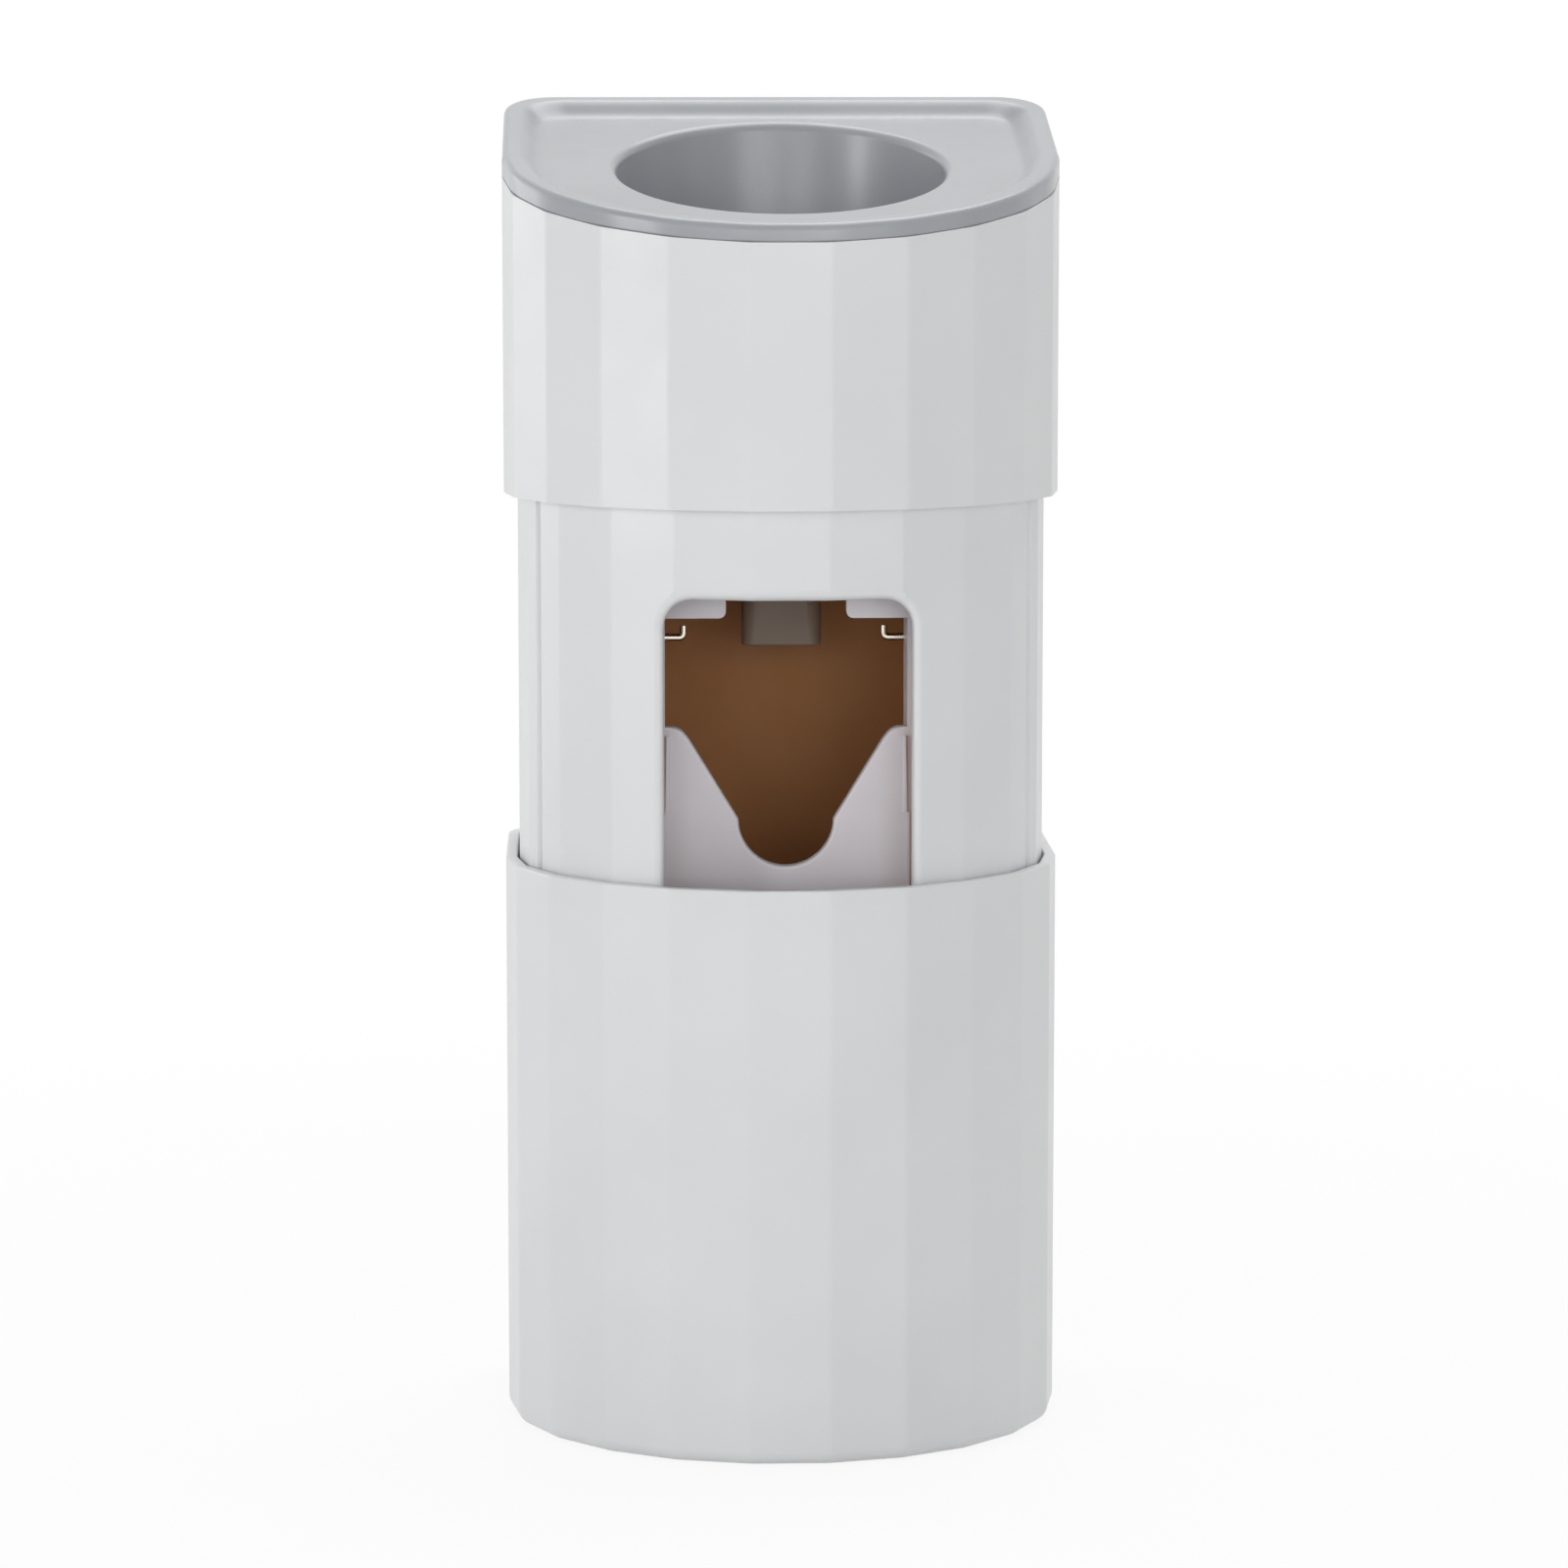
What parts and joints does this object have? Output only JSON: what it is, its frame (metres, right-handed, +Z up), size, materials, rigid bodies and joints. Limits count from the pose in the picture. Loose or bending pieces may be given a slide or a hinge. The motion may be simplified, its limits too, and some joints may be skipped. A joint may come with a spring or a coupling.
{
  "type": "toothpaste dispenser",
  "caption": "Wall-hung toothpaste dispenser with a faceted round front, a slanted tray with a round well, a V-notched push lever behind a window and a sliding dust cover.",
  "frame": {"origin": "centre of the adhesive pad's face on the wall, midway between the wall plate's two screw holes", "axes": "+Y into the wall, out of the dispenser's back; +Z up; +X to the right of someone who faces the dispenser"},
  "size_m": [0.076, 0.0672, 0.1819],
  "materials": {
    "shell_white": "satin cool white",
    "tray_grey": "matte light grey",
    "lever_milky": "smooth milky plastic",
    "throat_brown": "matte brown",
    "holder_white": "satin white",
    "seal_silicone": "soft off-white silicone",
    "nozzle_silicone": "translucent grey-brown silicone",
    "spring_steel": "bright drawn wire",
    "pin_steel": "turned steel",
    "screw_steel": "zinc plated",
    "plate_plastic": "smooth milky plastic",
    "pad_foam": "double-sided acrylic foam",
    "buffer_rubber": "matte grey rubber"
  },
  "bodies": {
    "wall_mount": {"wall_plate": "plate_plastic", "adhesive_pad": "pad_foam"},
    "dispenser": {"back_plate": "shell_white", "front_housing": "shell_white", "upper_shell": "shell_white", "top_tray": "tray_grey", "throat_liner": "throat_brown", "pump_frame": "throat_brown", "seal_holder": "holder_white", "neck_seal": "seal_silicone", "inlet_valve": "nozzle_silicone", "pump_tube": "seal_silicone", "outlet_nozzle": "nozzle_silicone", "nozzle_collar": "holder_white", "left_hinge_pin": "pin_steel", "right_hinge_pin": "pin_steel", "left_return_spring": "spring_steel", "right_return_spring": "spring_steel", "cover_catches": "plate_plastic", "stop_buffers": "buffer_rubber", "back_plate_screws": "screw_steel", "frame_screws": "screw_steel"},
    "cover": {"sliding_cover": "shell_white"},
    "lever": {"push_lever": "lever_milky", "press_pad": "nozzle_silicone"}
  },
  "joints": [
    {"name": "lift_off", "type": "slide", "parent": "wall_mount", "child": "dispenser", "axis": [0, 0, 1], "range_m": [0, 0.009]},
    {"name": "cover_slide", "type": "slide", "parent": "dispenser", "child": "cover", "axis": [0, 0, 1], "range_m": [0, 0.05]},
    {"name": "lever_push", "type": "hinge", "parent": "dispenser", "child": "lever", "pos_m": [0, -0.0446, -0.004], "axis": [1, 0, 0], "range_deg": [0, 12], "stiffness_Nm_per_rad": 0.45, "springref_deg": -11.46, "deforming": ["pump_tube", "left_return_spring", "right_return_spring"]}
  ]
}
